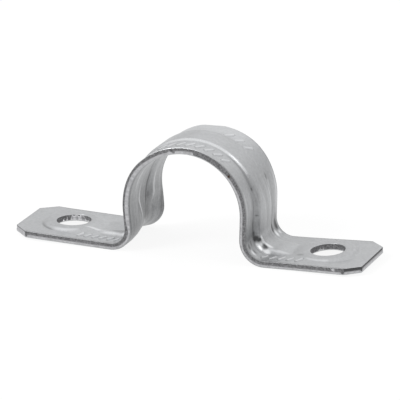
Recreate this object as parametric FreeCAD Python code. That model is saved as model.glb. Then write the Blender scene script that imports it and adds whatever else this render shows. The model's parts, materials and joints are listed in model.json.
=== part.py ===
# Two-hole conduit strap, stamped and folded from one piece of zinc-coated steel sheet.
# Millimetres. X runs along the strap, Y across it, Z up. The origin is at the middle of
# the strap, on the plane that its two heels stand on.

import FreeCAD, Part
from FreeCAD import Vector
import math
import os

# ---------------------------------------------------------------- driving dimensions
# The sheet and the saddle that holds the conduit
conduit_diameter = 26.7
strap_width = 20.6
sheet_thickness = 1.6
inside_height = 24.5           # from the heels up to the inside of the crown
overall_length = 84.2

# Each side as it sprang back from the press: how far the leg leans in under the
# conduit, how far the foot's tip lifts, and the radius under the heel
left_side = {"lean": 5.9, "toe_lift": 1.5, "heel_radius": 5.1}
right_side = {"lean": 1.1, "toe_lift": 2.2, "heel_radius": 5.8}

# The stiffening rib pressed outwards along the middle of the strip
rib_flat_width = 6.7           # its flat top
rib_step_width = 2.35          # each S-shaped step down to the plain margin
rib_height = 1.05              # down the legs and round the heels
rib_height_at_crown = 0.5      # it is drawn shallower over the conduit

# The screw holes, the low round pad pressed up around each, and the clipped corners
hole_spacing = 62.0
hole_diameter = 8.0
pad_flat_diameter = 13.2
pad_bevel_width = 0.8
pad_height = 0.25
corner_clip_length = 3.5       # along the foot
corner_clip_width = 3.4        # across the foot

# Where the rib grows or sinks along a straight, the strip is drawn through this many
# sections
blend_sections = 5

ACROSS = Vector(0, 1, 0)

# ---------------------------------------------------------------- derived sizes
conduit_radius = conduit_diameter / 2
saddle_centre_height = inside_height - conduit_radius
half_width = strap_width / 2
half_length = overall_length / 2
hole_centre = hole_spacing / 2
rib_flat_half_width = rib_flat_width / 2
rib_base_half_width = rib_flat_half_width + rib_step_width
pad_flat_radius = pad_flat_diameter / 2
pad_base_radius = pad_flat_radius + pad_bevel_width
rib_end = hole_centre - pad_base_radius    # the rib runs out where the pad begins


def step_edges(height, level):
    """Edges of the S-shaped step from the plain margin up to the rib's flat top. `level`
    is 0 for the underside of the sheet and the sheet's thickness for its upper side, so
    that the step keeps the full thickness. Points are (across, height above the
    underside of the margin)."""
    base = Vector(rib_base_half_width, level, 0)
    top = Vector(rib_flat_half_width, level + height, 0)
    if height == 0:
        middle = (base + top) / 2
        return [Part.makeLine(base, middle), Part.makeLine(middle, top)]
    turn = 2 * math.atan2(height, rib_step_width)
    radius = rib_step_width / (2 * math.sin(turn))
    base_radius = radius + sheet_thickness / 2 - level
    top_radius = radius - sheet_thickness / 2 + level

    def arc_point(start, signed_radius, angle):
        """The point reached by turning through an angle from a level start."""
        return start + Vector(-math.sin(angle), 1 - math.cos(angle), 0) * signed_radius

    inflection = arc_point(base, base_radius, turn)
    lower_arc = Part.Arc(base, arc_point(base, base_radius, turn / 2), inflection)
    upper_arc = Part.Arc(inflection, arc_point(top, -top_radius, turn / 2), top)
    return [lower_arc.toShape(), upper_arc.toShape()]


def strip_section(height):
    """Closed outline across the ribbed strip, in the plane of (across, height)."""
    half = [Part.makeLine(Vector(half_width, 0, 0), Vector(half_width, sheet_thickness, 0))]
    for level in (0, sheet_thickness):
        half.append(Part.makeLine(Vector(half_width, level, 0),
                                  Vector(rib_base_half_width, level, 0)))
        half += step_edges(height, level)
        half.append(Part.makeLine(Vector(rib_flat_half_width, level + height, 0),
                                  Vector(0, level + height, 0)))
    other_half = [edge.mirror(Vector(0, 0, 0), Vector(1, 0, 0)) for edge in half]
    return Part.Wire(Part.__sortEdges__(half + other_half))


class Station:
    """A place along the underside of the strip: its point in the X-Z plane and the
    direction that the sheet's upper side faces there, in degrees up from +X."""

    def __init__(self, x, z, normal_angle):
        self.x = x
        self.z = z
        self.normal_angle = normal_angle

    def normal(self):
        angle = math.radians(self.normal_angle)
        return Vector(math.cos(angle), 0, math.sin(angle))

    def further(self, distance):
        """The station further along the straight, towards the foot's tip."""
        direction = math.radians(self.normal_angle - 90)
        return Station(self.x + distance * math.cos(direction),
                       self.z + distance * math.sin(direction), self.normal_angle)

    def turned(self, centre, turn):
        """The station carried round a centre, clockwise as seen from the front."""
        arm = Vector(self.x, 0, self.z) - centre
        end = centre + FreeCAD.Rotation(ACROSS, turn).multVec(arm)
        return Station(end.x, end.z, self.normal_angle - turn)

    def section(self, height):
        wire = strip_section(height)
        normal = self.normal()
        rotation = FreeCAD.Rotation(ACROSS, normal, ACROSS.cross(normal), "XYZ")
        wire.Placement = FreeCAD.Placement(Vector(self.x, 0, self.z), rotation)
        return wire


def bent_strip(station, centre, turn, height):
    """A stretch of strip bent round a centre, and the station at its end."""
    strip = Part.Face(station.section(height)).revolve(centre, ACROSS, turn)
    return strip, station.turned(centre, turn)


def straight_strip(station, length, start_height, end_height):
    """A straight stretch on which the rib blends from one height to another, and the
    station at its end."""
    sections = []
    for i in range(blend_sections):
        share = i / (blend_sections - 1)
        rise = (0.5 - 0.5 * math.cos(math.pi * share)) * (end_height - start_height)
        sections.append(station.further(length * share).section(start_height + rise))
    return Part.makeLoft(sections, True, False), station.further(length)


def foot(station, toe_lift):
    """The flat end of the strap beyond the rib, with its pad, hole and clipped corners,
    on +X. It is drawn lying flat with the rib's end at X = 0, then lifted into place."""
    slope = math.cos(math.radians(toe_lift))
    length = (half_length - station.x) / slope
    pad_centre = Vector((hole_centre - station.x) / slope, 0, 0)
    up = Vector(0, 0, 1)

    clipped = half_width - corner_clip_width
    corners = [(0, -half_width), (length - corner_clip_length, -half_width),
               (length, -clipped), (length, clipped),
               (length - corner_clip_length, half_width), (0, half_width)]
    outline = [Vector(x, y, 0) for x, y in corners + corners[:1]]
    plate = Part.Face(Part.makePolygon(outline)).extrude(up * sheet_thickness)

    # The pad is the same sheet pressed up: a disc turned from its bevelled section
    underside = [(0, pad_height), (pad_flat_radius, pad_height), (pad_base_radius, 0)]
    upper_side = [(radius, height + sheet_thickness) for radius, height in underside]
    section = underside + upper_side[::-1] + underside[:1]
    profile = Part.makePolygon([pad_centre + Vector(x, 0, z) for x, z in section])
    pad = Part.Face(profile).revolve(pad_centre, up, 360)
    blank = Part.makeCylinder(pad_base_radius, sheet_thickness, pad_centre, up)
    shape = plate.cut(blank).fuse(pad)

    shape.rotate(Vector(0, 0, 0), Vector(0, 1, 0), -toe_lift)
    shape.translate(Vector(station.x, 0, station.z))

    # Punched square to the mounting surface
    punch_height = 4 * sheet_thickness + station.z
    punch = Part.makeCylinder(hole_diameter / 2, 2 * punch_height,
                              Vector(hole_centre, 0, -punch_height), up)
    return shape.cut(punch)


def half_strap(side):
    """Half of the strap, from the crown out to the foot's tip, on +X."""
    lean = side["lean"]
    heel_radius = side["heel_radius"]
    toe_lift = side["toe_lift"]

    crown = Station(0, inside_height, 90)
    saddle_centre = Vector(0, 0, saddle_centre_height)
    saddle, springing = bent_strip(crown, saddle_centre, 90 + lean, rib_height_at_crown)

    # The leg is as long as it takes to bring the heel down to the base plane
    heel_drop = springing.z + heel_radius * springing.normal().z - heel_radius
    leg_length = heel_drop / math.cos(math.radians(lean))
    leg, heel_start = straight_strip(springing, leg_length, rib_height_at_crown, rib_height)

    heel_centre = Vector(heel_start.x, 0, heel_start.z) + heel_start.normal() * heel_radius
    heel_turn = 90 + lean + toe_lift
    heel, heel_end = bent_strip(heel_start, heel_centre, -heel_turn, rib_height)

    run_out_length = (rib_end - heel_end.x) / math.cos(math.radians(toe_lift))
    run_out, foot_start = straight_strip(heel_end, run_out_length, rib_height, 0)
    return saddle.fuse([leg, heel, run_out, foot(foot_start, toe_lift)])


def conduit_strap():
    left_half = half_strap(left_side).mirror(Vector(0, 0, 0), Vector(1, 0, 0))
    return left_half.fuse(half_strap(right_side)).removeSplitter()


os.makedirs("parts", exist_ok=True)
strap = conduit_strap()
strap.exportStep("parts/conduit_strap.step")
print("solids", len(strap.Solids), "valid", strap.isValid(), "volume mm3", round(strap.Volume, 1))
print("box", strap.BoundBox)
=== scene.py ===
import json
import math
import bpy
import numpy as np
from mathutils import Matrix, Vector


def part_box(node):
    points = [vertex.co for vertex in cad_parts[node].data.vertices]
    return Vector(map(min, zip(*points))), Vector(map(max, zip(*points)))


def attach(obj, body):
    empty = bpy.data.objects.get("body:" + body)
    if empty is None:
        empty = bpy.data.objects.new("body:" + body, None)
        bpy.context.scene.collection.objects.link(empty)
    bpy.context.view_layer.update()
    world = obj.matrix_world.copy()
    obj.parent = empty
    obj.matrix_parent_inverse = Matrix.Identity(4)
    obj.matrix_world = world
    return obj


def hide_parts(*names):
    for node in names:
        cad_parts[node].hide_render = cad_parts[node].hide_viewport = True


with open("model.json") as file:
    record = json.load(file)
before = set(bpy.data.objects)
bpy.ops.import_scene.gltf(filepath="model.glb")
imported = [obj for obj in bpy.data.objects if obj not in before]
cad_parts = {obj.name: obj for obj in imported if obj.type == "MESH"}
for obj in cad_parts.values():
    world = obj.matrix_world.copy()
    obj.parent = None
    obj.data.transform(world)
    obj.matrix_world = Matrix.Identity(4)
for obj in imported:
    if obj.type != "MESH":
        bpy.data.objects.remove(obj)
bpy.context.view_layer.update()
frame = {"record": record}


# ---------------------------------------------------------------- the strap
# A two-hole conduit strap, one strip of 1.6 mm steel with a dull zinc coat. It is
# blanked flat with its screw holes and clipped corners, then pressed to shape: a saddle
# over the conduit, two legs, two heels, two feet, and a stiffening rib down its middle.

# Lengths here are in millimetres. A place on the flat blank is given by its run, the
# distance along the strip from the crown with the left side negative, by its distance
# across the strip, towards the back, and by its level above the middle of the sheet.
MM = 0.001
mounts = {mount["name"]: mount for mount in frame["record"]["mounts"]}
conduit_radius = mounts["conduit_saddle"]["dims"]["r_mm"]
saddle_centre_height = mounts["conduit_saddle"]["pos_m"][2] / MM
hole_centre = mounts["screw_holes"]["dims"]["spacing_x_mm"] / 2
hole_radius = mounts["screw_holes"]["dims"]["hole_r_mm"]
half_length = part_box("conduit_strap")[1].x / MM
half_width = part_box("conduit_strap")[1].y / MM
sheet_thickness = 1.6
corner_clip_length = 3.5
corner_clip_width = 3.4

# Each side as it sprang back from the press
left_side = {
    "lean": 5.9,                   # degrees that the leg leans in under the conduit
    "toe_lift": 1.5,               # degrees that the foot rises towards its toe
    "heel_radius": 5.1,
    "reach": half_length + 0.25,   # how far out the toe lies
    "twist": 0.002,                # rise of the toe for each millimetre across
    "toe_curl": 0.12,              # how far the last stretch of the foot curls up
    "front_clip": 3.4,             # width of the clipped corner at the front
    "rib_sinks": (15.5, 26.0),     # how far out the rib begins to sink, and ends
    "pad_height": 0.85,
    "pad_slopes": (0.045, 0.02),   # the pad's tilt, along the strip and across it
    "pad_radii": (5.8, 7.1),       # where its top ends, and the foot of its flank
}
right_side = {
    "lean": 1.1,
    "toe_lift": 2.2,
    "heel_radius": 5.8,
    "reach": half_length - 0.35,
    "twist": 0.025,
    "toe_curl": 0.0,
    "front_clip": 2.7,
    "rib_sinks": (16.5, 24.2),
    "pad_height": 0.70,
    "pad_slopes": (0.03, 0.05),
    "pad_radii": (6.0, 7.3),
}
sides = {-1: left_side, 1: right_side}

# ---- its bends
fold_step = 0.01               # the bends are worked out at this spacing
bend_softening = 0.5           # each bend begins and ends over this length, both ways
room_for_foot = 40             # strip worked out past each heel


def fold_side(side):
    """The middle of the sheet along one side, from the crown to past the toe: runs,
    distances outwards, heights, and how far the sheet's upper side has turned outwards
    from straight up. The runs where its stretches end are noted in the side."""
    lean = math.radians(side["lean"])
    toe_lift = math.radians(side["toe_lift"])
    saddle_bend = conduit_radius + sheet_thickness / 2
    heel_bend = side["heel_radius"] - sheet_thickness / 2
    springing_height = saddle_centre_height - conduit_radius * math.sin(lean)
    heel_drop = springing_height - side["heel_radius"] * (1 + math.sin(lean))

    saddle_end = saddle_bend * (math.pi / 2 + lean)
    leg_end = saddle_end + heel_drop / math.cos(lean)
    heel_end = leg_end + heel_bend * (math.pi / 2 + lean + toe_lift)
    runs = np.arange(0, heel_end + room_for_foot, fold_step)
    bend = np.where(runs < saddle_end, 1 / saddle_bend, 0)
    bend = np.where((runs > leg_end) & (runs < heel_end), -1 / heel_bend, bend)
    soft = round(bend_softening / fold_step)
    bend = np.convolve(np.pad(bend, soft, "edge"), np.ones(2 * soft + 1) / (2 * soft + 1), "valid")
    turned = np.cumsum(bend) * fold_step
    outwards = np.cumsum(np.cos(turned)) * fold_step
    heights = saddle_centre_height + saddle_bend - np.cumsum(np.sin(turned)) * fold_step

    side["saddle_end"], side["heel_end"] = saddle_end, heel_end
    side["toe"] = float(np.interp(side["reach"], outwards, runs))
    side["hole"] = float(np.interp(hole_centre, outwards, runs))
    side["sinking_runs"] = [float(np.interp(x, outwards, runs)) for x in side["rib_sinks"]]
    return runs, outwards, heights, turned


left_fold, right_fold = fold_side(left_side), fold_side(right_side)
folded_runs = np.concatenate([-left_fold[0][:0:-1], right_fold[0]])
folded_x = np.concatenate([-left_fold[1][:0:-1], right_fold[1]])
folded_z = np.concatenate([left_fold[2][:0:-1], right_fold[2]])
folded_turn = np.concatenate([-left_fold[3][:0:-1], right_fold[3]])

# ---- its rib
rib_height = 1.05
rib_height_at_crown = 0.5
rib_grows = (-7.0, 1.0)        # from and to these runs, counted from the saddle's end
rib_base_runs = [0, 8, 13, 18, 23, 60]
rib_base_half_widths = [4.4, 4.25, 4.0, 4.4, 5.2, 5.2]
base_narrows_sinking = 0.9
step_width = 1.0               # from the rib's base in to its flat top, at the crown
step_widens_with_height = 1.6
step_widens_sinking = 0.5
upper_roundings = (0.25, 0.6)  # at the step's foot and at its top, as shares of its width
under_roundings = (0.4, 0.12)
under_step_inset = 0.2         # the step on the underside starts this much further in
under_step_extra = 0.85        # and is this much wider
# Round the left heel its back step fans out, and its underside is one broad hollow. Each
# lies between four runs: where it begins, is full, begins to fade and ends.
fan_width = 4.2
fan_runs = (24.5, 29.5, 34, 38)
hollow_runs = (23, 27.5, 32, 37)
hollow_across = [-10, -6, -3, 0, 3, 5.5, 8, 10.3]
hollow_heights = [0, 0.05, 0.3, 0.8, 1.35, 1.45, 0.75, 0]


def ease(value, start, end):
    """0 before start, 1 after end, and smooth between."""
    share = np.clip((value - start) / (end - start), 0, 1)
    return share * share * (3 - 2 * share)


def fade(value, start, end):
    """1 before start, 0 after end, and smooth between."""
    return 1 - ease(value, start, end)


def stretch(value, start, full, fading, end):
    """1 from full to fading, 0 before start and after end, and smooth between."""
    return ease(value, start, full) * fade(value, fading, end)


def rib_step(height, across, base, width, foot_round, top_round):
    """The rib's height at a distance across the strip: a straight slope from its base
    line in to its flat top, rounded over the given lengths at its foot and its top."""
    slope = height / (width - foot_round / 2 - top_round / 2)
    within = np.clip(base - np.abs(across), 0, width)
    rise = np.where(within < foot_round, slope * within ** 2 / (2 * foot_round),
                    slope * (within - foot_round / 2))
    return np.where(within > width - top_round,
                    height - slope * (width - within) ** 2 / (2 * top_round), rise)


def rib_raised(run, across, level):
    """How far the rib has raised the sheet. Its step is crisp at its foot on the upper
    side, and at its top on the underside."""
    out = np.abs(run)
    height, sunk = np.zeros((2,) + run.shape)
    for sign, side in sides.items():
        here = run * sign >= 0
        grown = ease(out, side["saddle_end"] + rib_grows[0], side["saddle_end"] + rib_grows[1])
        full = rib_height_at_crown + (rib_height - rib_height_at_crown) * grown
        start, end = side["sinking_runs"]
        sinking = np.clip((out - start) / (end - start), 0, 1)
        height = np.where(here, full * np.cos(sinking * math.pi / 2), height)
        sunk = np.where(here, sinking, sunk)
    fan = np.where((run < 0) & (across > 0), fan_width * stretch(out, *fan_runs), 0)
    base = np.interp(out, rib_base_runs, rib_base_half_widths)
    base = base - base_narrows_sinking * sunk ** 2 + fan
    width = step_width + step_widens_with_height * np.clip(height - rib_height_at_crown, 0, 1)
    width = width + step_widens_sinking * sunk + fan
    foot_round, top_round = (share * width for share in upper_roundings)
    upper = rib_step(height, across, base, width, foot_round, top_round)
    foot_round, top_round = (share * width for share in under_roundings)
    under = rib_step(height, across, base - under_step_inset, width + under_step_extra,
                     foot_round, top_round)
    in_hollow = np.where(run < 0, stretch(out, *hollow_runs), 0)
    under = under + in_hollow * (np.interp(across, hollow_across, hollow_heights) - under)
    upwards = np.clip(level / sheet_thickness + 0.5, 0, 1)
    return upper * upwards + under * (1 - upwards)


# ---- the pads round its screw holes, its sprung margins and twisted feet
pad_top_draws_in = 1.0         # towards the heel the pad's top ends this much sooner
pad_runs_out = 3.5             # and its flank reaches this much further
merging = 4                    # how firmly the rib and a pad merge: more makes it crisper
margin = (3, 10)               # a margin springs more and more between these, across
toe_curl_length = 7
# Each margin that sprang out of line: the run, the reach along the strip, how far it
# sprang, and 1 for the back margin or -1 for the front one
sprung_margins = [(-26.0, 9.0, -0.3, 1), (-0.5, 3.4, -0.25, 1), (10.0, 8.5, 0.24, 1),
                  (-14.5, 7.5, 0.2, -1)]


def pad_raised(run, across):
    """How far the pads have raised the sheet."""
    pad = np.zeros(run.shape)
    for sign, side in sides.items():
        along = run * sign - side["hole"]
        slope_along, slope_across = side["pad_slopes"]
        tilted = side["pad_height"] + slope_along * along * sign + slope_across * across
        from_hole = np.hypot(along, across)
        heelwards = ease(-along / np.maximum(from_hole, 1), 0, 1)
        top, foot = side["pad_radii"]
        flank = fade(from_hole, top - pad_top_draws_in * heelwards,
                     foot + pad_runs_out * heelwards)
        pad = np.where(run * sign >= 0, tilted * flank, pad)
    return pad


def formed(run, across, level):
    """Where points of the blank lie once it is pressed."""
    raised = (rib_raised(run, across, level) ** merging + pad_raised(run, across) ** merging)
    height = level + raised ** (1 / merging)
    for middle, reach, rise, back in sprung_margins:
        near = fade(np.abs(run - middle), 0, reach)
        height = height + rise * near * ease(back * across, *margin)
    for sign, side in sides.items():
        out = run * sign
        height = height + side["twist"] * across * ease(out, side["heel_end"], side["toe"])
        height = height + side["toe_curl"] * ease(out, side["toe"] - toe_curl_length, side["toe"])
    turned = np.interp(run, folded_runs, folded_turn)
    x = np.interp(run, folded_runs, folded_x) + np.sin(turned) * height
    z = np.interp(run, folded_runs, folded_z) + np.cos(turned) * height
    return np.stack([x, across, z], -1)


# ---- its blank, a grid of cells along the strip, and rings of cells round each screw hole
cell = 0.3
edge_cell = 0.6                # room for the rolled edge
rings_reach = 9.0              # the rings take over from the grid this far from the hole
round_radius = 8.0             # and are round from here in
steps_to_round = 6
ring_spacing = 0.25
cells_across = round(2 * (half_width - edge_cell) / cell)
across_lines = np.concatenate([
    [-half_width],
    np.linspace(-half_width + edge_cell, half_width - edge_cell, cells_across + 1),
    [half_width]])
ring_start = {sign: side["hole"] - rings_reach for sign, side in sides.items()}
cells_along = round((ring_start[-1] + ring_start[1]) / cell)
along_lines = np.linspace(-ring_start[-1], ring_start[1], cells_along + 1)

blank = [(run, across) for run in along_lines for across in across_lines]
cells = []
row = len(across_lines)
for i in range(len(along_lines) - 1):
    for j in range(row - 1):
        first = i * row + j
        cells.append((first, first + row, first + row + 1, first + 1))


def add_foot(sign):
    """The rings of cells from the foot's outline in to its screw hole."""
    side = sides[sign]
    toe, clip = side["toe"], half_width - corner_clip_width
    first = 0 if sign < 0 else (len(along_lines) - 1) * row
    ring = list(range(first, first + row))          # the seam with the strip's grid
    outline = [(ring_start[sign], across) for across in across_lines]
    corners = [(toe - corner_clip_length, half_width), (toe, clip),
               (toe, side["front_clip"] - half_width),
               (toe - corner_clip_length, -half_width), (ring_start[sign], -half_width)]
    for corner in corners:
        start = np.array(outline[-1])
        steps = max(2, round(math.dist(start, corner) / cell))
        outline += [tuple(start + (np.array(corner) - start) * k / steps)
                    for k in range(1, steps + 1)]
    outline.pop()
    outline = np.array(outline)
    centre = np.array([side["hole"], 0])
    away = outline - centre
    circle = away / np.linalg.norm(away, axis=1, keepdims=True)
    edge_ring = away * (1 - edge_cell / half_width)
    rings = [edge_ring]
    for k in range(1, steps_to_round + 1):
        rings.append(edge_ring + (circle * round_radius - edge_ring) * k / steps_to_round)
    for radius in np.arange(round_radius - ring_spacing, hole_radius + edge_cell, -ring_spacing):
        rings.append(circle * radius)
    rings += [circle * (hole_radius + edge_cell), circle * hole_radius]

    for place in outline[row:]:
        ring.append(len(blank))
        blank.append((sign * place[0], place[1]))
    for offsets in rings:
        inner = [len(blank) + k for k in range(len(ring))]
        blank.extend((sign * (centre[0] + along), across) for along, across in offsets)
        for k in range(len(ring)):
            after = (k + 1) % len(ring)
            around = (ring[k], inner[k], inner[after], ring[after])
            cells.append(around if sign > 0 else around[::-1])
        ring = inner


add_foot(-1)
add_foot(1)
blank = np.array(blank)

# ---- its cut edge, all round the blank and in each hole. From the upper side down it has
# a small burr, the rough torn part, the smooth sheared part, and the edge that the die
# rolled over. Each row of its profile stands proud of the outline, at its own level.
cut_profile = [(-0.08, 0.80), (-0.03, 0.78), (0.00, 0.73), (-0.02, 0.60), (-0.04, 0.46),
               (-0.05, 0.32), (-0.05, 0.18), (-0.04, 0.06), (-0.02, -0.06), (0.00, -0.18),
               (0.00, -0.34), (0.00, -0.50), (-0.04, -0.64), (-0.13, -0.74), (-0.30, -0.80)]
bare_rows = range(2, 11)       # the rows of faces where the steel is bare
ZINC, STEEL = 0, 1             # the strap's material slots

edges = {pair for quad in cells for pair in zip(quad, quad[1:] + quad[:1])}
next_corner = {a: b for a, b in edges if (b, a) not in edges}
cuts = []
while next_corner:
    start = min(next_corner)
    loop = [start]
    while next_corner[loop[-1]] != start:
        loop.append(next_corner[loop[-1]])
    for corner in loop:
        del next_corner[corner]
    cuts.append(loop)

upper_blank, lower_blank = blank.copy(), blank.copy()
faces = [tuple(quad) for quad in cells]
faces += [tuple(corner + len(blank) for corner in quad[::-1]) for quad in cells]
finish_of_face = [ZINC] * len(faces)
wall_blank, wall_level = [], []
corners_so_far = 2 * len(blank)
for loop in cuts:
    here = blank[loop]
    ahead = np.roll(here, -1, 0) - here
    ahead /= np.linalg.norm(ahead, axis=1, keepdims=True)
    behind = np.roll(ahead, 1, 0)
    turn = ahead + behind
    turn /= np.linalg.norm(turn, axis=1, keepdims=True)
    outwards = np.stack([turn[:, 1], -turn[:, 0]], 1)
    outwards /= np.sum(turn * ahead, 1, keepdims=True)
    upper_blank[loop] += outwards * cut_profile[0][0]
    lower_blank[loop] += outwards * cut_profile[-1][0]
    rows = [list(loop)]
    for proud, level in cut_profile[1:-1]:
        rows.append([corners_so_far + k for k in range(len(loop))])
        corners_so_far += len(loop)
        wall_blank.extend(here + outwards * proud)
        wall_level.extend([level] * len(loop))
    rows.append([corner + len(blank) for corner in loop])
    for k in range(len(rows) - 1):
        for a in range(len(loop)):
            b = (a + 1) % len(loop)
            faces.append((rows[k][a], rows[k + 1][a], rows[k + 1][b], rows[k][b]))
            finish_of_face.append(STEEL if k in bare_rows else ZINC)

# ---- its rows of plain slanting bars, raised on the margins as a press tool leaves them
# for grip. Each is a low rounded boss, let a little way into the sheet.
bar_width = 0.5
bar_height = 0.24
bar_flank = 0.16
bar_inset = 0.02               # its rim lies this far down in the sheet
bar_root = 0.06                # and its underside this far
bar_slant = math.radians(62)
bar_rows = [                   # first bar's run, how many, pitch, across, length, height
    (-6.2, 8, 2.15, -7.2, 2.9, 1.0), (4.6, 3, 2.5, 5.4, 3.4, 1.0),
    (-43.6, 6, 1.85, -7.3, 2.3, 1.1), (34.6, 5, 2.1, -7.2, 2.4, 0.9)]
cells_long, cells_wide = 16, 8
bar_row = cells_wide + 1
bar_corners = (cells_long + 1) * bar_row       # in its top, and as many in its underside
bar_blank, bar_level = [], []


def add_bar(run, across, length, height):
    """One bar's top, its underside and the wall round them."""
    start = corners_so_far + len(bar_blank)
    for depth, rises in ((bar_inset, 1), (bar_root, 0)):
        for u in np.linspace(-0.5, 0.5, cells_long + 1) * (length + bar_width):
            for v in np.linspace(-1, 1, cells_wide + 1) * bar_width:
                past_end = max(abs(u) - (length - bar_width) / 2, 0)
                away = math.hypot(past_end, v) - bar_width / 2
                rise = rises * height * fade(away, -bar_flank / 2, bar_flank)
                bar_blank.append((run + u * math.cos(bar_slant) + v * math.sin(bar_slant),
                                  across + u * math.sin(bar_slant) - v * math.cos(bar_slant)))
                bar_level.append(sheet_thickness / 2 + rise - depth)
    for i in range(cells_long):
        for j in range(cells_wide):
            first = start + i * bar_row + j
            top = (first, first + 1, first + bar_row + 1, first + bar_row)
            faces.append(top)
            faces.append(tuple(corner + bar_corners for corner in top[::-1]))
    rim = ([(0, j) for j in range(cells_wide)] + [(i, cells_wide) for i in range(cells_long)]
           + [(cells_long, j) for j in range(cells_wide, 0, -1)]
           + [(i, 0) for i in range(cells_long, 0, -1)])
    rim = [start + i * bar_row + j for i, j in rim]
    for a, b in zip(rim, rim[1:] + rim[:1]):
        faces.append((b, a, a + bar_corners, b + bar_corners))


for first_run, count, pitch, across, length, share in bar_rows:
    for k in range(count):
        add_bar(first_run + k * pitch, across, length, share * bar_height)
finish_of_face += [ZINC] * (len(faces) - len(finish_of_face))

# ---- the whole strap, pressed and standing on its lowest points
place_on_blank = np.concatenate([upper_blank, lower_blank, wall_blank, bar_blank])
level = np.concatenate([np.full(len(blank), sheet_thickness / 2),
                        np.full(len(blank), -sheet_thickness / 2), wall_level, bar_level])
run, across = place_on_blank.T
points = formed(run, across, level)
points[:, 2] -= points[:, 2].min()

strap_mesh = bpy.data.meshes.new("conduit_strap_pressed")
strap_mesh.from_pydata((points * MM).tolist(), [], faces)
strap_mesh.polygons.foreach_set("use_smooth", [True] * len(faces))
strap_mesh.polygons.foreach_set("material_index", finish_of_face)
on_blank = strap_mesh.attributes.new("on_blank", "FLOAT_VECTOR", "POINT")
on_blank.data.foreach_set("vector", np.column_stack([place_on_blank, level]).ravel())
strap_mesh.update()
strap = bpy.data.objects.new("conduit_strap_pressed", strap_mesh)
bpy.context.scene.collection.objects.link(strap)
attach(strap, "root")
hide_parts("conduit_strap")


def keep_on_mesh(**values_by_name):
    """Keeps values for the points of the mesh, which the materials read by name."""
    for name, values in values_by_name.items():
        strap_mesh.attributes.new(name, "FLOAT", "POINT").data.foreach_set("value", values)


# ---- its zinc coat: dull grey, finely mottled, with faint drawn lines down the legs
out = np.abs(run)
upper_side = level > 0
above_sheet = level - sheet_thickness / 2
from_edge = half_width - np.abs(across)

# How bright the coat is along the strip: its own tone with painted light and shade. It is painted
# brighter over the crown, which faces up, darker down the legs and heels, which face the dimmer
# sides of the room, and darkest inside the saddle's lower half, where least light falls. Over the
# crown the rib's top is painted a little darker and the back margin lighter
upper_runs = [-60, -40, -33, -28, -20, -14, -6, -1, 3, 10, 14, 17, 22, 27, 30, 34, 38, 60]
upper_tones = [0.575, 0.575, 0.53, 0.42, 0.45, 0.50, 0.60, 0.62, 0.58, 0.55, 0.52, 0.455, 0.415,
               0.35, 0.43, 0.51, 0.55, 0.55]
under_runs = [0, 12, 16, 22, 28, 34, 60]
under_tones = [0.52, 0.44, 0.37, 0.31, 0.25, 0.38, 0.5]
coat_tone = np.where(upper_side, np.interp(run, upper_runs, upper_tones),
                     np.interp(out, under_runs, under_tones))
over_crown = upper_side * fade(out, 6, 12)
coat_tone = coat_tone + over_crown * np.interp(across, [-5, -3, 3, 6], [0, -0.02, -0.02, 0.08])


def marks(places, on_upper_side):
    """How strongly soft long marks cover each point of one side of the sheet. Each mark
    is its run, its place across, its length along the strip, its width and its strength."""
    cover = np.zeros(len(level))
    for mark_run, mark_across, length, width, strength in places:
        away = np.hypot((run - mark_run) / length, (across - mark_across) / width)
        cover = np.maximum(cover, strength * fade(away, 0.35, 1.0))
    return np.where(upper_side == on_upper_side, cover, 0)


# Painted highlights, with a lower roughness as of polish, lie on creases and edges of the right
# heel and leg, and on the end of the rib on the left foot,
polished_above = [
    (31.4, -4.9, 2.0, 0.8, 0.65), (34.0, -4.6, 1.5, 0.7, 1.0),
    (30.2, -3.0, 2.4, 0.7, 0.7), (33.2, -2.8, 2.6, 0.85, 0.9), (36.8, -3.8, 3.8, 0.6, 0.6),
    (31.5, -8.7, 1.4, 0.6, 0.9), (31.4, 7.0, 1.5, 0.8, 1.0), (31.2, 8.8, 1.3, 0.7, 1.0),
    (21.5, 3.7, 6.5, 0.9, 0.35), (21.0, 9.6, 8.0, 0.7, 0.4),
    (-41.0, -3.4, 4.0, 0.5, 0.8), (-37.5, -4.2, 3.0, 0.5, 0.7), (-35.5, -7.9, 3.0, 0.6, 0.3)]
# lines down the inside of the left leg,
polished_below = [
    (-24.5, -1.4, 7.0, 0.5, 0.4), (-21.5, 5.1, 6.0, 0.5, 0.3), (-16.0, -6.6, 5.0, 0.6, 0.3),
    (-29.5, 1.0, 1.3, 0.5, 0.7)]
# the rib's steps over the conduit, a little in from the rib's base,
step_middle = 0.45
rib_base = np.interp(out, rib_base_runs, rib_base_half_widths)
on_step = fade(np.abs(np.abs(across) - rib_base + step_middle), 0.15, 0.5)
polished = np.where(upper_side, 0.75 * fade(out, 5, 14) * on_step, 0)
polished = np.maximum(polished, marks(polished_above, on_upper_side=True))
polished = np.maximum(polished, marks(polished_below, on_upper_side=False))
# and the bars' tops, the burr over the crown, and the front of each pad's flank
polished = np.where(above_sheet > 0.6 * bar_height, 0.6, polished)
on_burr = ease(level, 0.70, 0.75) * fade(from_edge, 0.15, 0.3)
from_crown = np.abs(run + 1)
polished = np.maximum(polished, 0.5 * on_burr * fade(from_crown, 2, 6))
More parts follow.
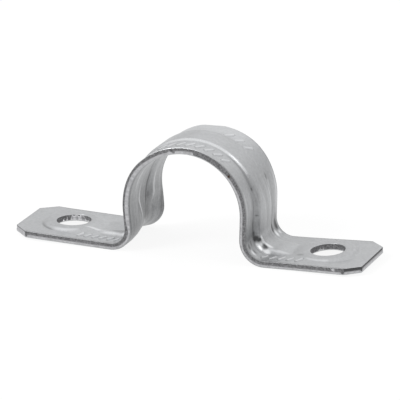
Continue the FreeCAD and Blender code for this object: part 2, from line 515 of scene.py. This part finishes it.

# Painted shade lies in the right heel's creases and down the right leg, and in lines down the
# inside of the left leg; among it are two small dark specks of grime on the right leg
soiled_above = [
    (28.7, -4.75, 1.3, 1.15, 1.0), (29.5, -4.0, 1.0, 0.9, 1.0), (27.5, -5.2, 1.6, 0.7, 0.7),
    (25.6, -5.9, 3.0, 0.5, 0.5), (32.5, -3.9, 1.7, 0.8, 0.95), (17.2, -4.4, 0.5, 0.6, 0.8),
    (23.0, -4.5, 0.4, 0.45, 0.7), (16.8, 5.3, 1.2, 0.5, 0.5), (42.1, -4.0, 1.3, 0.8, 0.3),
    (29.6, -8.8, 1.3, 0.6, 0.7), (29.1, -7.3, 1.2, 0.5, 0.6), (31.6, -7.8, 1.0, 0.5, 0.5),
    (28.9, 6.0, 2.7, 1.1, 0.9), (27.6, 6.3, 2.4, 0.8, 0.4),
    (29.2, 8.7, 2.7, 1.1, 0.9), (28.0, 9.0, 2.4, 0.9, 0.4), (22.0, 7.0, 8.0, 1.4, 0.2),
    (11.5, -4.5, 5.0, 0.5, 0.3), (15.5, -4.4, 4.5, 1.3, 0.35), (19.5, -4.6, 7.0, 2.6, 0.2),
    (24.0, -5.2, 5.0, 3.4, 0.12), (-34.5, -3.6, 4.0, 0.8, 0.3)]
soiled_below = [
    (-16.0, 1.9, 3.2, 0.4, 0.7), (-20.0, 2.5, 4.2, 0.4, 0.85), (-24.5, 2.3, 4.2, 0.4, 0.9),
    (-28.5, 1.7, 3.4, 0.4, 0.9), (-26.0, 3.7, 7.0, 1.7, 0.2)]
# Painted shade also lies round the bars' feet, along the burr beyond the crown and at the foot of
# the left pad's front, and a painted shadow lies under the rims of the legs
at_bar_foot = (above_sheet > 0.001) & (above_sheet < 0.5 * bar_height)
soiled = np.where(at_bar_foot, 0.4, 0)
soiled = np.maximum(soiled, 0.5 * on_burr * ease(from_crown, 5, 12))
# A painted highlight lies on the front of each pad's flank
for sign, side in sides.items():
    toewards = run * sign - side["hole"]
    from_hole = np.hypot(toewards, across)
    facing_front = ease(-across / np.maximum(from_hole, 1), 0.1, 0.7)
    flank_top, flank_foot = side["pad_radii"]
    on_flank = upper_side * fade(np.abs(from_hole - flank_top - 0.6), 0.1, 0.5)
    polished = np.maximum(
        polished, 0.55 * on_flank * facing_front * fade(np.abs(toewards + 0.4), 2, 3.6))
    if side is left_side:
        at_foot = upper_side * fade(np.abs(from_hole - flank_foot), 0.1, 0.5)
        soiled = np.maximum(soiled, 0.45 * at_foot * ease(toewards, 2, 3.5) * facing_front)
soiled = np.maximum(soiled, marks(soiled_above, on_upper_side=True))
soiled = np.maximum(soiled, marks(soiled_below, on_upper_side=False))
under_rim = ease(-level, 0.7, 0.8) * fade(from_edge, 0.3, 0.9)
soiled = np.maximum(soiled, 0.4 * under_rim * stretch(out, 4, 12, 28, 33))
# The legs and heels were drawn over the tool, which leaves faint lines along the strip
drawn = stretch(out, 13, 19, 31, 37)
keep_on_mesh(coat_tone=coat_tone, polished=polished, soiled=soiled, drawn=drawn)


def add_node(tree, kind, settings=None, **inputs):
    """Adds a shader node. Inputs are numbers, colours or the sockets that feed them, by
    name with _ for a space, or by number after an i."""
    node = tree.nodes.new(kind)
    for name, value in (settings or {}).items():
        setattr(node, name, value)
    for name, value in inputs.items():
        key = int(name[1:]) if name[0] == "i" and name[1:].isdigit() else name.replace("_", " ")
        if isinstance(value, bpy.types.NodeSocket):
            tree.links.new(value, node.inputs[key])
        else:
            node.inputs[key].default_value = value
    return node


def math_node(tree, operation, *values):
    """One sum on values or sockets."""
    inputs = {f"i{k}": value for k, value in enumerate(values)}
    return add_node(tree, "ShaderNodeMath", {"operation": operation}, **inputs).outputs[0]


def blend(tree, share, first, second):
    """first where share is 0, second where it is 1."""
    return add_node(tree, "ShaderNodeMix", {"data_type": "FLOAT"}, i0=share, i2=first,
                    i3=second).outputs[0]


def new_group(name, output, output_kind, **input_kinds):
    """A node group with its inputs and its one output: the tree, its given inputs and
    the node that takes its result."""
    tree = bpy.data.node_groups.new(name, "ShaderNodeTree")
    for input_name, kind in input_kinds.items():
        tree.interface.new_socket(input_name.replace("_", " "), in_out="INPUT", socket_type=kind)
    tree.interface.new_socket(output, in_out="OUTPUT", socket_type=output_kind)
    return tree, tree.nodes.new("NodeGroupInput").outputs, tree.nodes.new("NodeGroupOutput")


# The unevenness of the metal, which both finishes show at their own scales: a value round
# zero that changes over the blank, stretched by three factors
metal_grain, given, result = new_group(
    "metal_grain", "Grain", "NodeSocketFloat", Place="NodeSocketVector",
    Stretch="NodeSocketVector", Scale="NodeSocketFloat", Detail="NodeSocketFloat")
stretched = add_node(metal_grain, "ShaderNodeMapping", Vector=given["Place"],
                     Scale=given["Stretch"]).outputs[0]
noise = add_node(metal_grain, "ShaderNodeTexNoise", Vector=stretched, Scale=given["Scale"],
                 Detail=given["Detail"], Roughness=0.6).outputs["Fac"]
metal_grain.links.new(math_node(metal_grain, "SUBTRACT", noise, 0.5), result.inputs["Grain"])

# The colour of metal of a given tone, darkened towards a second tone by the grime and painted
# shade fed to it, a little warm or cool
dirty_metal, given, result = new_group(
    "dirty_metal", "Color", "NodeSocketColor", Tone="NodeSocketFloat", Dirt="NodeSocketFloat",
    Dirt_Tone="NodeSocketFloat", Red="NodeSocketFloat", Blue="NodeSocketFloat")
tone = blend(dirty_metal, given["Dirt"], given["Tone"], given["Dirt Tone"])
colour = add_node(dirty_metal, "ShaderNodeCombineColor",
                  Red=math_node(dirty_metal, "MULTIPLY", tone, given["Red"]), Green=tone,
                  Blue=math_node(dirty_metal, "MULTIPLY", tone, given["Blue"])).outputs[0]
dirty_metal.links.new(colour, result.inputs["Color"])


def new_material(name):
    """A material with only its Principled BSDF: itself, its tree and its shader."""
    material = bpy.data.materials.new(name)
    material.use_nodes = True
    return material, material.node_tree, material.node_tree.nodes["Principled BSDF"]


def from_mesh(tree, name):
    """A value that is kept on the mesh."""
    return add_node(tree, "ShaderNodeAttribute", {"attribute_name": name}).outputs["Fac"]


def grain_of(tree, scale, detail, stretch=(1, 1, 1)):
    """The metal's grain over the blank."""
    place = add_node(tree, "ShaderNodeAttribute", {"attribute_name": "on_blank"}).outputs["Vector"]
    return add_node(tree, "ShaderNodeGroup", {"node_tree": metal_grain}, Place=place, Scale=scale,
                    Detail=detail, Stretch=stretch).outputs["Grain"]


def raise_relief(tree, shader, height):
    """Feeds the shader with a relief of a height in millimetres."""
    relief = add_node(tree, "ShaderNodeBump", Height=height, Strength=1.0, Distance=MM)
    tree.links.new(relief.outputs[0], shader.inputs["Normal"])


zinc_coat, tree, shader = new_material("zinc_coat")
grain = grain_of(tree, 1.9, 4.0)
clouds = grain_of(tree, 0.3, 2.0)
lines = math_node(tree, "MULTIPLY", grain_of(tree, 1.0, 3.0, (0.07, 1.5, 0.6)),
                  from_mesh(tree, "drawn"))
is_polished = from_mesh(tree, "polished")
# The coat's tone with its painted light and shade along the strip, grained and clouded
tone = math_node(tree, "MULTIPLY_ADD", grain, 0.26, from_mesh(tree, "coat_tone"))
tone = math_node(tree, "MULTIPLY_ADD", clouds, 0.08, tone)
tone = math_node(tree, "MULTIPLY_ADD", lines, 0.36, tone)
# Painted highlights: the tone rises towards 0.85 there, and the roughness falls below
tone = blend(tree, is_polished, tone, 0.85)
# Grime and painted shade darken it
dirtied = add_node(tree, "ShaderNodeGroup", {"node_tree": dirty_metal}, Tone=tone,
                   Dirt=from_mesh(tree, "soiled"), Dirt_Tone=0.08, Red=0.985, Blue=1.02)
tree.links.new(dirtied.outputs["Color"], shader.inputs["Base Color"])
shader.inputs["Metallic"].default_value = 1.0
roughness = math_node(tree, "MULTIPLY_ADD", grain, 0.15, 0.40)
tree.links.new(blend(tree, is_polished, roughness, 0.22), shader.inputs["Roughness"])
height = math_node(tree, "MULTIPLY", grain, 0.016)
raise_relief(tree, shader, math_node(tree, "MULTIPLY_ADD", lines, 0.04, height))
strap_mesh.materials.append(zinc_coat)

# ---- the bare steel of its cut edge: dark and rough where it tore, bright where it was
# sheared. The line where it began to tear wanders along the strip, with nicks over the
# crown.
tear_runs = [-60, -40, -29, -26, -13, -9, -4.2, -3.6, -3.1, -2.6, -2.2, 2.1, 2.4, 2.8, 4, 9,
             12, 17, 28, 40, 60]
tear_levels = [0.00, -0.10, -0.10, 0.35, 0.20, -0.05, -0.10, 0.15, -0.20, -0.70, 0.00, 0.05,
               -0.75, -0.75, -0.55, -0.60, -0.15, -0.05, -0.05, -0.15, -0.15]
tear_line = np.interp(run, tear_runs, tear_levels)
# It lies higher beyond the clips' first corners, most of all on the left, which keeps the left
# clips bright sheared steel as painted light on faces that the light falls on, and tears reach
# down at those corners and at the right toe's front corner
on_left = run < 0
toe = np.where(on_left, left_side["toe"], right_side["toe"])
clip_start = toe - corner_clip_length
higher = np.where(on_left, 0.50, np.where(out < toe - 0.3, 0.12, 0.45))
tear_line = tear_line + higher * ease(out, clip_start - 0.1, clip_start + 0.15)
tear_line = tear_line - 0.7 * fade(np.abs(out - clip_start + 0.2), 0.1, 0.45)
toe_corner_across = right_side["front_clip"] - half_width
from_toe_corner = np.hypot(run - right_side["toe"], across - toe_corner_across)
tear_line = tear_line - 0.7 * fade(from_toe_corner, 0.12, 0.6)
# In each hole it lies at these levels, by the distance along the strip from the middle
left_hole_line = (
    [-3.55, -3.45, -3.35, -3.2, -3.0, -2.9, -2.8, -2.6, -2.3, -2.0, -0.3, 0, 0.7, 1, 4],
    [-1.2, 0.4, 0.4, -1.2, -1.2, 0.4, 0.4, -1.2, -1.2, 0.68, 0.68, 1.0, 1.0, 0.1, -0.6])
right_hole_line = ([-3.5, -3.2, -2.2, -1.9, 1.5, 1.8, 2.6, 2.9],
                   [-1.3, -0.35, -0.35, -1.3, -1.3, -0.3, -0.3, -1.3])
round_hole = np.zeros(len(level))
for sign, hole_line in ((-1, left_hole_line), (1, right_hole_line)):
    along = run - sign * sides[sign]["hole"]
    in_hole = np.hypot(along, across) < hole_radius + edge_cell / 2
    tear_line = np.where(in_hole, np.interp(along, *hole_line), tear_line)
    round_hole = np.where(in_hole, 1, round_hole)
# The steel is torn above the line, but for one bright speck on the right foot
torn = level - tear_line
torn = torn - 2.0 * fade(np.hypot(run - 52.2, level - 0.35) / 0.42, 0.4, 1.0)
# A speck of rust sits on the front edge, on the right of the saddle
rusty = fade(np.hypot(run - 12.0, level - 0.1) / 0.45, 0.3, 1.0)
rusty = np.where(across < -half_width + 0.3, rusty, 0)
# Painted shade darkens the upper part of the cut round the right toe, whose faces turn away from
# the light
grimy = np.where(run > clip_start, ease(level, -0.15, 0.25), 0)
keep_on_mesh(torn=torn, round_hole=round_hole, rusty=rusty, grimy=grimy)

cut_steel, tree, shader = new_material("cut_steel")
is_in_hole = from_mesh(tree, "round_hole")
streaks = grain_of(tree, 1.6, 3.0, (1, 1, 0.2))
crumbs = grain_of(tree, 2.6, 4.0)
raggedness = math_node(tree, "MULTIPLY_ADD", is_in_hole, 2.6, 0.3)
ragged = math_node(tree, "MULTIPLY", streaks, raggedness)
tear = math_node(tree, "ADD", ragged, from_mesh(tree, "torn"))
is_torn = add_node(tree, "ShaderNodeMapRange", {"interpolation_type": "SMOOTHSTEP"}, Value=tear,
                   From_Min=-0.12, From_Max=0.12).outputs[0]
torn_tone = math_node(tree, "MULTIPLY_ADD", crumbs, 0.5, 0.21)
streakiness = math_node(tree, "MULTIPLY_ADD", is_in_hole, 1.3, 0.5)
sheared_tone = math_node(tree, "MULTIPLY_ADD", is_in_hole, 0.14, 0.46)
sheared_tone = math_node(tree, "MULTIPLY_ADD", streaks, streakiness, sheared_tone)
tone = math_node(tree, "MAXIMUM", blend(tree, is_torn, sheared_tone, torn_tone), 0.04)
# Painted shade on the right toe's cut, mottled by the crumbs
dirt = math_node(tree, "MULTIPLY", math_node(tree, "MULTIPLY_ADD", crumbs, 1.2, 0.65),
                 from_mesh(tree, "grimy"))
dirtied = add_node(tree, "ShaderNodeGroup", {"node_tree": dirty_metal}, Tone=tone, Dirt=dirt,
                   Dirt_Tone=0.05, Red=1.0, Blue=1.03)
rusted = add_node(tree, "ShaderNodeMix", {"data_type": "RGBA"}, i0=from_mesh(tree, "rusty"),
                  i6=dirtied.outputs["Color"], i7=(0.05, 0.025, 0.008, 1))
tree.links.new(rusted.outputs[2], shader.inputs["Base Color"])
shader.inputs["Metallic"].default_value = 1.0
tree.links.new(blend(tree, is_torn, 0.35, 0.7), shader.inputs["Roughness"])
raise_relief(tree, shader, blend(tree, is_torn, math_node(tree, "MULTIPLY", streaks, 0.05),
                                 math_node(tree, "MULTIPLY", crumbs, 0.12)))
strap_mesh.materials.append(cut_steel)


# ---------------------------------------------------------------- the floor
# A plain white sweep of matt board under the strap, wide enough to fill the view. It is
# dim as a lit surface, so that it throws little light back, and glows white to the eye.

reach = 3
floor_mesh = bpy.data.meshes.new("floor")
floor_mesh.from_pydata([(-reach, -reach, 0), (reach, -reach, 0), (reach, reach, 0),
                        (-reach, reach, 0)], [], [(0, 1, 2, 3)])
floor = bpy.data.objects.new("floor", floor_mesh)
bpy.context.scene.collection.objects.link(floor)
board, tree, shader = new_material("white_board")
shader.inputs["Base Color"].default_value = (0.11, 0.11, 0.11, 1)
shader.inputs["Roughness"].default_value = 1.0
shader.inputs["Specular IOR Level"].default_value = 0.0
shader.inputs["Emission Color"].default_value = (1, 1, 1, 1)
rays = add_node(tree, "ShaderNodeLightPath").outputs
seen = math_node(tree, "MAXIMUM", rays["Is Glossy Ray"], rays["Is Transmission Ray"])
seen = math_node(tree, "MAXIMUM", rays["Is Camera Ray"], seen)
tree.links.new(math_node(tree, "MULTIPLY", seen, 0.89), shader.inputs["Emission Strength"])
floor_mesh.materials.append(board)


# ---------------------------------------------------------------- the lights
# A pale room, brighter overhead. One strong soft box in front, high on the left, lights
# the strap, with a weaker one high on the right and a dim broad one behind.

world = bpy.data.worlds.new("pale_room")
bpy.context.scene.world = world
world.use_nodes = True
tree = world.node_tree
direction = add_node(tree, "ShaderNodeTexCoord").outputs["Generated"]
upwards = add_node(tree, "ShaderNodeSeparateXYZ", Vector=direction).outputs["Z"]
glow = add_node(tree, "ShaderNodeMapRange", Value=upwards, From_Min=0.0, From_Max=1.0,
                To_Min=0.66, To_Max=0.92)
tree.links.new(glow.outputs[0], tree.nodes["Background"].inputs["Strength"])
tree.nodes["Background"].inputs["Color"].default_value = (1, 1, 1, 1)


def soft_box(name, place, width, glow):
    """A square soft box aimed at the strap. Its glow is its brightness, where 1 is white."""
    strap_middle = Vector((0, 0, 0.01))
    lamp = bpy.data.lights.new(name, "AREA")
    lamp.size = width
    lamp.energy = glow * math.pi * width ** 2
    holder = bpy.data.objects.new(name, lamp)
    holder.location = place
    holder.rotation_euler = (strap_middle - Vector(place)).to_track_quat("-Z", "Y").to_euler()
    bpy.context.scene.collection.objects.link(holder)


soft_box("soft_box_front", (-0.6, -0.7, 0.75), 0.45, 11.0)
soft_box("soft_box_behind", (0, 1.0, 0.45), 0.8, 0.15)
soft_box("soft_box_right", (0.75, -0.1, 0.85), 0.4, 2.0)


# ---------------------------------------------------------------- the camera
# A long lens 1.3 metres from the strap, in front of it and a little to its right, as high
# above the floor as a seated eye is above a bench.

azimuth, elevation, roll = map(math.radians, (20.75, 16.94, 0.24))
distance = 1.305
back = Vector((math.sin(azimuth) * math.cos(elevation), -math.cos(azimuth) * math.cos(elevation),
               math.sin(elevation)))
level_right = Vector((math.cos(azimuth), math.sin(azimuth), 0))
level_up = back.cross(level_right)
right = level_right * math.cos(roll) + level_up * math.sin(roll)
up = level_up * math.cos(roll) - level_right * math.sin(roll)
aim = Vector((-0.00004, 0, 0.01098))
lens = bpy.data.cameras.new("bench_camera")
lens.lens = 516.3
lens.sensor_width = 36
lens.clip_start = 0.1
lens.clip_end = 20
camera = bpy.data.objects.new("bench_camera", lens)
camera.matrix_world = Matrix.Translation(aim + back * distance) @ Matrix(
    (right, up, back)).transposed().to_4x4()
bpy.context.scene.collection.objects.link(camera)
bpy.context.scene.camera = camera
bpy.context.scene.view_settings.view_transform = "Standard"
